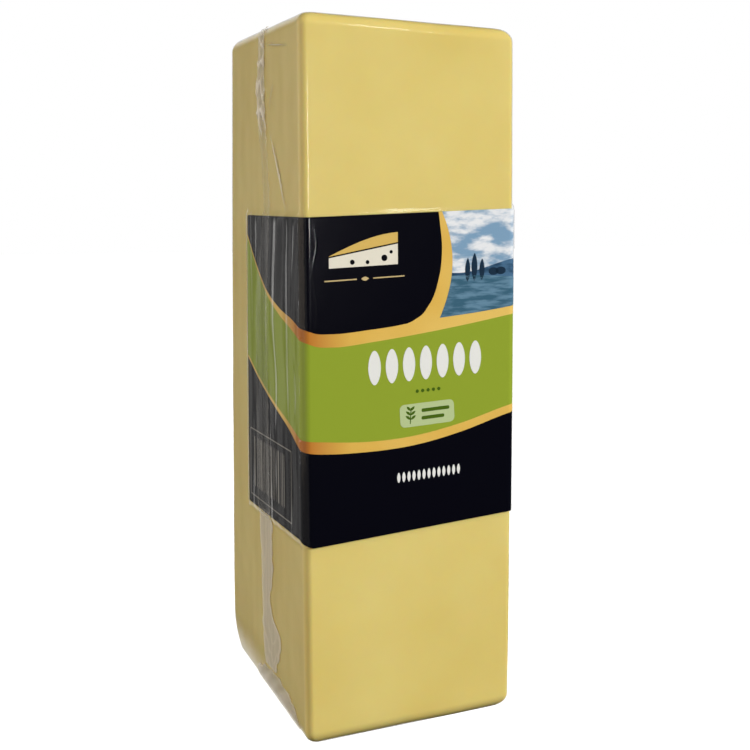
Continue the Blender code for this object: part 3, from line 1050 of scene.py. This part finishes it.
@dataclass(frozen=True)
class Press:
    """Lays printed shapes on the label as thin closed bodies of ink."""

    form: BlockForm
    label: LabelShape
    ink: float = 0.00001

    def laid(self, around_mm: Array, climb_mm: Array, layer: Layer) -> Surface:
        """Lays one grid of places on the label.

        Args:
            around_mm: Distances round, columns going right.
            climb_mm: Distances climbed, rows going up.
            layer: The layer of the print.

        Returns:
            The closed body of ink.
        """
        around, climb = np.broadcast_arrays(around_mm * MM, climb_mm * MM)
        lift = self.label.surface() + layer.value * MM
        return thin_body(self.form.skin(around, climb, lift - self.ink), self.form.skin(around, climb, lift))

    def between(self, low: Curve, high: Curve, left: Array, right: Array,
                layer: Layer, columns: int = 240) -> Surface:
        """A field between a lower and an upper curve.

        Args:
            low: Height of the lower curve at a distance round, both in millimetres.
            high: Height of the upper curve.
            left: Left end of each row, foot to top.
            right: Right end of each row.
            layer: The layer of the print.
            columns: How many places across.

        Returns:
            The field.
        """
        up = np.linspace(0.0, 1.0, len(left))[:, None]
        around = left[:, None] + (right - left)[:, None] * np.linspace(0.0, 1.0, columns)
        return self.laid(around, low(around) + (high(around) - low(around)) * up, layer)

    def stroke(self, start: tuple[float, float], end: tuple[float, float], half: Curve,
               layer: Layer, steps: int = 22) -> Surface:
        """A straight stroke whose half width is a function of the share of its length.

        Args:
            start: Place of its start, (round, up) in millimetres.
            end: Place of its end.
            half: Half width in millimetres at shares from 0 to 1.
            layer: The layer of the print.
            steps: How many places along it.

        Returns:
            The stroke.
        """
        share = (1.0 - np.cos(np.linspace(0.0, np.pi, steps))) / 2
        start, end = np.array(start, float), np.array(end, float)
        way = (end - start) / np.linalg.norm(end - start)
        middle = start + (end - start) * share[:, None]
        reach = np.maximum(half(share), 0.004)
        sides = np.linspace(-1.0, 1.0, 5)[:, None]
        around = middle[:, 0] - sides * reach * way[1]
        climb = middle[:, 1] + sides * reach * way[0]
        return self.laid(around, climb, layer)


def bar(half_mm: float, length_mm: float, end_mm: float) -> Curve:
    """Half width of a bar with round-cornered ends: a quarter circle over the last end_mm."""
    def half(share: Array) -> Array:
        past = np.clip(1.0 - np.minimum(share, 1.0 - share) * length_mm / end_mm, 0.0, 1.0)
        return half_mm - end_mm * (1.0 - np.sqrt(1.0 - past**2))
    return half


def leaf(half_mm: float, fullness: float = 0.7) -> Curve:
    """Half width of a leaf: a sine raised to a power, fuller as the power falls."""
    return lambda share: half_mm * np.sin(np.pi * share) ** fullness


def disc(radius_mm: float) -> Curve:
    """Half width of a disc along its diameter."""
    return lambda share: radius_mm * np.sqrt(np.clip(1.0 - (2.0 * share - 1.0) ** 2, 0.0, 1.0))


@dataclass(frozen=True)
class Label:
    """The label band: black film with green, gold and a blue picture, and plain printed motifs."""

    form: BlockForm
    shape: LabelShape
    press: Press
    lean: float = 0.050
    green_top: tuple[tuple[float, float], ...] = (
        (-118.5, 209.8), (-104.0, 196.2), (-91.6, 186.6), (-73.5, 178.4), (-56.0, 173.1), (-47.6, 169.9),
        (-43.0, 168.1), (-36.0, 167.5), (-18.0, 169.0), (7.0, 172.1), (43.0, 177.8), (80.0, 185.0),
        (118.5, 197.0))
    green_foot: tuple[tuple[float, float], ...] = (
        (-118.5, 157.0), (-99.7, 147.8), (-80.9, 140.8), (-60.6, 134.6), (-48.5, 130.6), (-37.4, 129.3),
        (-20.0, 128.2), (-2.0, 128.9), (22.3, 133.0), (43.5, 138.7), (80.0, 146.0), (118.5, 154.0))
    gold_top_width: tuple[tuple[float, float], ...] = (
        (-118.5, 0.9), (-93.0, 1.6), (-75.0, 2.8), (-54.0, 4.6), (-36.0, 5.3), (-11.0, 5.0), (12.0, 5.4),
        (26.0, 4.7), (44.0, 4.0), (84.0, 5.0), (104.0, 4.2), (118.5, 2.6))
    gold_foot_width: tuple[tuple[float, float], ...] = (
        (-118.5, 1.2), (-84.0, 1.7), (-63.0, 2.7), (-46.0, 4.8), (-20.0, 4.2), (8.0, 3.9), (44.0, 3.5),
        (118.5, 2.2))
    dark_edge: tuple[tuple[float, float], ...] = (
        (174.2, -10.0), (175.3, -5.0), (178.5, 2.5), (183.2, 7.0), (194.0, 11.6), (205.7, 13.1),
        (217.9, 12.0), (224.0, 11.2))
    picture_bulge: float = 18.0
    picture_middle: float = 201.0
    picture_curve: float = 9.3
    mirror_at: float = 51.0
    fine: int = 520

    def body(self) -> bpy.types.Object:
        """Makes the label's black film: a thin closed band with rounded rear corners."""
        half_front, arc = (float(length) for length in self.form.lengths(np.array(self.form.height / 2))[:2])
        end, radius = self.shape.end(), self.shape.corner_r
        corner = half_front + arc * np.linspace(0.0, 1.0, 15)
        side = np.linspace(corner[-1], end - radius, 60)[1:]
        rounding = end - radius + radius * np.sin(np.linspace(0.0, np.pi / 2, 12))[1:]
        right = np.concatenate([np.linspace(0.0, half_front, 44)[1:-1], corner, side, rounding])
        around = np.concatenate([-right[::-1], [0.0], right])
        top, foot = self.shape.edges(around)
        past = np.clip((np.abs(around) - end) / radius + 1.0, 0.0, 1.0)
        cut = radius * (1.0 - np.sqrt(1.0 - past**2))
        climb = (foot + cut) + (top - foot - 2 * cut) * np.linspace(0.0, 1.0, 60)[:, None]
        inner = self.form.skin(around, climb, self.shape.gap)
        outer = self.form.skin(around, climb, self.shape.surface())
        film = Ink("black_label_film", "0A0A13").material()
        piece = thin_body(inner, outer).object("label_film", film, "label")
        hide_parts("label_band")
        return piece

    def curve(self, points: tuple[tuple[float, float], ...]) -> Curve:
        """A smooth curve through the points, as a function of the distance round."""
        return lambda around: smooth_line(points, around)

    def top_edge(self, around: Array) -> Array:
        """The label's top edge in millimetres."""
        return self.shape.edges(around * MM)[0] / MM

    def fields(self) -> None:
        """Prints the green band and the two gold stripes that bound it."""
        end = self.shape.end() / MM
        left, right = np.full(9, -end), np.full(9, end)
        top, foot = self.curve(self.green_top), self.curve(self.green_foot)
        upper, lower = self.curve(self.gold_top_width), self.curve(self.gold_foot_width)
        green = self.press.between(foot, top, left, right, Layer.FIELD, self.fine)
        printed("green_field", Ink("lime_green_ink", "9AAD37"), green)
        bounds = (top, lambda s: top(s) + upper(s)), (lambda s: foot(s) - lower(s), foot)
        stripes = [self.press.between(*pair, left, right, Layer.STRIPE, self.fine) for pair in bounds]
        z = np.linspace(self.dark_edge[0][0], self.dark_edge[-1][0], 60)
        dark, blue = smooth_line(self.dark_edge, z), self.picture_edge(z) + 1.2
        climb = np.minimum(z, self.top_edge(dark))[:, None] + np.zeros(10)
        across = dark[:, None] + (blue - dark)[:, None] * np.linspace(0.0, 1.0, 10)
        stripes.append(self.press.laid(across, climb, Layer.BRIDGE))
        up = np.linspace(0.0, 1.0, 60)[:, None]
        far = 2 * self.mirror_at - across[:, ::-1]
        stripes.append(self.press.laid(far, top(far) + (self.top_edge(far) - top(far)) * up, Layer.BRIDGE))
        # the paler gold patches are a painted sheen; the orange towards the near edge is print
        printed("gold_stripes", Ink("gold_ink", "EBBF5B", pale_tone_and_sheen_code="F1CB6C", corner_code="C4762C"), *stripes)

    def picture_edge(self, z: Array) -> Array:
        """The picture's left edge at a height: a parabola that bulges left to right."""
        return self.picture_bulge - ((z - self.picture_middle) / self.picture_curve) ** 2

    def picture(self) -> None:
        """Prints a plain landscape in blues: sky with clouds, two ranges of hills, a meadow, poplars.

        Each field runs from the picture's foot to its own skyline, a sum of two sine waves.
        """
        top, width = self.curve(self.green_top), self.curve(self.gold_top_width)
        up = np.linspace(0.0, 1.0, 40)

        def foot(around: Array) -> Array:
            return top(around) + width(around) - 0.4

        def field(skyline: Curve, layer: Layer) -> Surface:
            first = foot(np.array(self.picture_bulge))
            z = first + (skyline(np.array(self.picture_bulge)) - first) * up
            left = self.picture_edge(z)
            return self.press.between(foot, skyline, left, 2 * self.mirror_at - left, layer)

        far = field(lambda s: 198.2 + 2.2 * np.sin(s / 9.0 + 2.2) + 0.06 * (s - 18.0), Layer.MOTIF)
        near = field(lambda s: 193.4 + 1.6 * np.sin(s / 14.0 + 0.4) + 0.07 * (s - 18.0), Layer.DETAIL)
        sky = DuotoneInk("sky_print", "86A9C6", "F4F6F8", patches_mm=(17.0, 17.0, 6.5), low=0.42, high=0.60)
        hill = DuotoneInk("far_hill_print", "2F4C68", "4F7494", patches_mm=(9.0, 9.0, 2.6))
        meadow = DuotoneInk("meadow_print", "41697F", "6C92AA", patches_mm=(13.0, 13.0, 2.2))
        printed("picture_sky", sky, field(self.top_edge, Layer.PICTURE))
        printed("picture_hills", hill, far)
        printed("picture_meadow", meadow, near)
        poplars = (25.0, 8.6, 1.2), (28.2, 10.4, 1.4), (31.8, 7.8, 1.2), (56.0, 8.0, 1.3), (60.0, 10.0, 1.5)
        trees = [self.press.stroke((s, 192.0 + 0.07 * s - 1.2), (s + 0.2, 192.0 + 0.07 * s + tall),
                                   leaf(wide), Layer.DETAIL) for s, tall, wide in poplars]
        trees += [self.press.stroke((s - 2.4, 194.0 + 0.07 * s), (s + 2.4, 194.2 + 0.07 * s),
                                    disc(1.6), Layer.DETAIL) for s in (37.5, 41.0, 68.0)]
        printed("picture_trees", Ink("navy_ink", "22364A"), *trees)

    def raised(self, around: float, climb: float) -> tuple[float, float]:
        """A place with the label's slight lean added to its height, in millimetres."""
        return around, climb + self.lean * around

    def leaning(self, start: tuple[float, float], end: tuple[float, float], half: Curve,
                layer: Layer = Layer.MOTIF) -> Surface:
        """A stroke between two places, each raised by the label's slight lean."""
        return self.press.stroke(self.raised(*start), self.raised(*end), half, layer)

    def emblem(self) -> None:
        """Prints a wedge of cheese in cream over a thin gold rule, on the black field."""
        left, right, low, slope = -37.0, -7.0, 200.5, 0.14
        rows = np.full(5, 1.0)

        def face(foot: Curve, top: Curve) -> Surface:
            return self.press.between(foot, top, rows * left, rows * right, Layer.MOTIF, columns=40)

        def level(rise: float, crown: float = 0.0) -> Curve:
            return lambda s: (low + rise + (self.lean + slope) * (s - left) - 1.2
                              + crown * np.sin(np.clip((s - left) / (right - left), 0, 1) * np.pi * 0.62))

        side, lid = face(lambda s: low + self.lean * s, level(3.4)), face(level(4.0), level(4.1, crown=4.2))
        holes = [self.press.stroke((s - r, low + z), (s + r, low + z), disc(r), Layer.DETAIL)
                 for s, z, r in ((-13.0, 2.2, 1.3), (-20.4, 0.6, 0.8), (-27.0, 0.6, 1.0), (-10.0, 4.6, 0.7))]
        line = bar(0.25, 14.0, 0.2)
        parts = (-39.0, -25.0, line), (-18.0, -4.0, line), (-23.2, -19.8, leaf(0.8, 1.0))
        rule = [self.leaning((start, 195.6), (end, 195.6), half) for start, end, half in parts]
        printed("emblem_side", Ink("cream_ink", "F2ECDA"), side)
        printed("emblem_lid", Ink("straw_ink", "E4C069"), lid)
        printed("emblem_holes", Ink("black_ink", "0A0A10"), *holes)
        printed("emblem_rule", Ink("pale_gold_ink", "D8C08A"), *rule)

    def ornaments(self) -> None:
        """Prints the plain ornaments: a row of leaves, dots, a badge with a sprig, and small lozenges."""
        leaves = [self.leaning((s, 152.2), (s, 166.3), leaf(2.8, 0.5)) for s in -17.6 + 7.75 * np.arange(7)]
        small = [self.leaning((s, 110.0), (s, 114.4), leaf(0.75, 0.6)) for s in -6.9 + 2.33 * np.arange(13)]
        printed("white_ornaments", Ink("white_ink", "F4F4EF"), *leaves, *small)
        badge = self.leaning((-6.3, 137.8), (18.9, 137.8), bar(4.8, 25.2, 2.2))
        printed("badge", Ink("pale_green_ink", "C3D39B"), badge)
        dots = 0.9 + 2.5 * np.arange(5)
        green = [self.leaning((s, 147.7), (s + 1.5, 147.7), leaf(0.75, 0.6)) for s in dots]
        green += [self.press.stroke((-1.6, 134.2), (-1.2, 141.0), bar(0.22, 6.8, 0.2), Layer.DETAIL)]
        green += [self.press.stroke((-1.4, rise), (-1.4 + reach, rise + 1.7), leaf(0.55, 0.8), Layer.DETAIL)
                  for rise, wide in ((136.0, 2.3), (137.9, 2.2), (139.8, 1.8)) for reach in (-wide, wide)]
        green += [self.leaning((3.6, level), (3.6 + long, level), bar(0.75, long, 0.6), Layer.DETAIL)
                  for level, long in ((139.4, 13.0), (136.2, 10.6))]
        printed("green_ornaments", Ink("dark_green_ink", "4C6A1C"), *green)

    def code_panel(self) -> None:
        """Prints a panel of plain upright bars of random widths, in a thin frame, on the left side."""
        left, right, low, high = -115.0, -60.3, 93.2, 123.6
        draw = np.random.default_rng(5)
        sides = [((left, z), (right, z)) for z in (low, high)]
        sides += [((s, low), (s, high)) for s in (left, right)]
        parts = [self.press.stroke(*side, bar(0.3, 30.0, 0.25), Layer.MOTIF, steps=40) for side in sides]
        place = left + 6.0
        while place < right - 7.0:
            half = draw.choice((0.25, 0.4, 0.75))
            parts.append(self.press.stroke((place, low + 4.5), (place, high - 3.0), bar(half, 22.0, 0.1),
                                           Layer.MOTIF, steps=8))
            place += 2 * half + draw.choice((0.9, 1.3, 2.0))
        printed("code_bars", Ink("grey_ink", "8C8983"), *parts)

    def build(self) -> bpy.types.Object:
        """Makes the label with everything printed on it."""
        band = self.body()
        self.fields()
        self.picture()
        self.emblem()
        self.ornaments()
        self.code_panel()
        return band


# Studio


def direction(azimuth: float, elevation: float) -> Array:
    """The way to a place, by degrees to the right of the front and degrees above the level."""
    turn, rise = np.radians([azimuth, elevation])
    return np.array([np.sin(turn) * np.cos(rise), -np.cos(turn) * np.cos(rise), np.sin(rise)])


def stand(thing: bpy.types.Object, right: Array, up: Array, back: Array, place: Sequence[float]) -> None:
    """Puts a camera or light into the scene.

    Args:
        thing: The camera or light.
        right: Its own X axis.
        up: Its own Y axis.
        back: Its own Z axis, away from what it looks at.
        place: Where it is.
    """
    axes = np.eye(4)
    axes[:3] = np.stack([right, up, back, place], axis=1)
    thing.matrix_world = Matrix(axes.tolist())
    bpy.context.scene.collection.objects.link(thing)


@dataclass(frozen=True)
class Panel:
    """A flat soft light that points at the block's middle."""

    name: str
    width: float
    height: float
    energy: float
    azimuth: float
    elevation: float
    distance: float = 2.5
    colour: tuple[float, float, float] = (1.0, 1.0, 1.0)
    mirrored: bool = True
    middle: tuple[float, float, float] = (0.0, 0.0, 0.15)

    def hang(self) -> None:
        """Makes the light, out of the camera's sight, and points it."""
        data = bpy.data.lights.new(self.name, "AREA")
        data.shape = "RECTANGLE"
        data.size, data.size_y = self.width, self.height
        data.energy = self.energy
        data.color = self.colour
        light = bpy.data.objects.new(self.name, data)
        light.visible_camera = False
        light.visible_glossy = self.mirrored
        way = direction(self.azimuth, self.elevation)
        side = np.cross([0.0, 0.0, 1.0], way)
        side = side / np.linalg.norm(side)
        stand(light, side, np.cross(way, side), way, np.array(self.middle) + way * self.distance)


@dataclass(frozen=True)
class Studio:
    """A white floor, soft light from the right of the front, and the camera.

    The key is broad and stays out of the gloss. The fill is a warm panel along the left, which greys
    the left face and the near edge. The window draws the line on the near edge, the lamp the thin
    line along the top edge, and the strip the film's folds.

    Each ramp of the surroundings gives the start and end of one axis of the direction, and the low
    and high share of light there.
    """

    camera_at: tuple[float, float, float] = (-0.18939, -0.44533, 0.21462)
    yaw: float = 23.64
    pitch: float = 7.95
    roll: float = -0.2
    focal_px: float = 1072.1
    frame_px: float = 750.0
    sensor_mm: float = 36.0
    floor_half: float = 8.0
    panels: tuple[Panel, ...] = (
        Panel("key", 1.2, 1.2, 205.0, 45.0, 22.0, distance=4.5, mirrored=False),
        Panel("fill", 4.2, 2.6, 23.0, -84.0, 14.0, colour=(1.0, 0.84, 0.64)),
        Panel("window", 0.24, 0.44, 4.6, 12.0, 5.6),
        Panel("lamp", 0.10, 0.50, 2.0, 27.6, 34.5),
        Panel("strip", 0.15, 1.6, 3.6, -126.0, 4.0),
    )
    above: Ramp = (-0.4, 0.9, 0.30, 0.59)
    behind: Ramp = (-0.3, 0.9, 0.80, 1.35)
    leftward: Ramp = (-0.24, -0.40, 0.0, 1.0)
    backdrop: Ramp = (0.66, 0.86, 0.015, 0.90)
    rightward: Ramp = (-0.24, -0.06, 0.015, 1.0)
    dark_way: tuple[float, float] = (26.0, -6.0)
    dark_angles: tuple[float, float] = (46.0, 24.0)
    dark_share: float = 0.05
    room_tint: tuple[float, float, float, float] = (1.0, 0.985, 0.96, 1.0)

    def camera(self) -> None:
        """Sets the camera: it looks along +Y, turned by yaw to the right and by pitch downwards."""
        yaw, pitch, roll = np.radians([self.yaw, self.pitch, self.roll])
        ahead = np.array([np.sin(yaw) * np.cos(pitch), np.cos(yaw) * np.cos(pitch), -np.sin(pitch)])
        right = np.array([np.cos(yaw), -np.sin(yaw), 0.0])
        up = np.cross(right, ahead)
        right, up = right * np.cos(roll) + up * np.sin(roll), up * np.cos(roll) - right * np.sin(roll)
        data = bpy.data.cameras.new("camera")
        data.sensor_width = self.sensor_mm
        data.lens = self.sensor_mm * self.focal_px / self.frame_px
        data.clip_start = 0.01
        camera = bpy.data.objects.new("camera", data)
        stand(camera, right, up, -ahead, self.camera_at)
        bpy.context.scene.camera = camera

    def floor(self) -> None:
        """Lays the white light table. It stays out of the gloss, so that black print stays black."""
        half = self.floor_half
        corners = [(x, y, -0.0002) for x, y in ((-half, -half), (half, -half), (half, half), (-half, half))]
        mesh = bpy.data.meshes.new("floor")
        mesh.from_pydata(corners, [], [(0, 1, 2, 3)])
        material, tree, surface = new_material("white_studio_floor")
        shader = add_node(tree, "ShaderNodeBsdfPrincipled", Base_Color=linear("F2F2F0"), Roughness=0.9,
                          Emission_Color=linear("FFFFFF"), Emission_Strength=1.0)
        tree.links.new(shader.outputs[0], surface)
        mesh.materials.append(material)
        floor = bpy.data.objects.new("floor", mesh)
        bpy.context.scene.collection.objects.link(floor)
        floor.visible_glossy = False
        floor.visible_diffuse = False

    def surroundings(self) -> None:
        """Sets the light that comes from all round: white to the eye, and a room otherwise.

        The room is a soft grey on the left, brighter above and behind, with a bright backdrop to the
        right of that at the rear. It is nearly black elsewhere, and darkest in a round patch to the
        right of the front, which is what the front mirrors.
        """
        world = bpy.data.worlds.new("studio")
        bpy.context.scene.world = world
        world.use_nodes = True
        tree = world.node_tree
        tree.nodes.clear()
        way = add_node(tree, "ShaderNodeTexCoord").outputs["Generated"]
        x, y, z = add_node(tree, "ShaderNodeSeparateXYZ", Vector=way).outputs
        left = computed(tree, "MULTIPLY", ranged(tree, z, *self.above), ranged(tree, y, *self.behind))
        rear = computed(tree, "MULTIPLY", ranged(tree, y, *self.backdrop), ranged(tree, x, *self.rightward))
        both = mixed(tree, ranged(tree, x, *self.leftward), rear, left, "FLOAT")
        dark = tuple(direction(*self.dark_way))
        near = add_node(tree, "ShaderNodeVectorMath", {"operation": "DOT_PRODUCT"}, in_0=way, in_1=dark)
        start, end = np.cos(np.radians(self.dark_angles))
        patch = ranged(tree, near.outputs["Value"], start, end, 1.0, self.dark_share, "SMOOTHSTEP")
        strength = computed(tree, "MULTIPLY", both, patch)
        room = add_node(tree, "ShaderNodeBackground", Color=self.room_tint, Strength=strength).outputs[0]
        white = add_node(tree, "ShaderNodeBackground", Color=linear("FFFFFF"), Strength=1.0).outputs[0]
        eye = add_node(tree, "ShaderNodeLightPath").outputs["Is Camera Ray"]
        add_node(tree, "ShaderNodeOutputWorld", Surface=layered(tree, eye, room, white))

    def build(self) -> None:
        """Sets up the camera, the floor and the lights, with plain colour handling."""
        bpy.context.scene.view_settings.view_transform = "Standard"
        self.camera()
        self.floor()
        for panel in self.panels:
            panel.hang()
        self.surroundings()


def main() -> None:
    """Builds the studio and every piece."""
    logging.basicConfig(level=logging.INFO, format="%(name)s: %(message)s")
    form = BlockForm()
    shape = LabelShape(form)
    pieces = (Cheese(form), Label(form, shape, Press(form, shape)), Film(form, shape), FilmSeam(form, shape),
              FootFold(form), EndSeal(form))
    for maker in pieces:
        piece = maker.build()
        LOG.info("%s: %d faces", piece.name, len(piece.data.polygons))
    Studio().build()


if __name__ == "__main__":
    main()
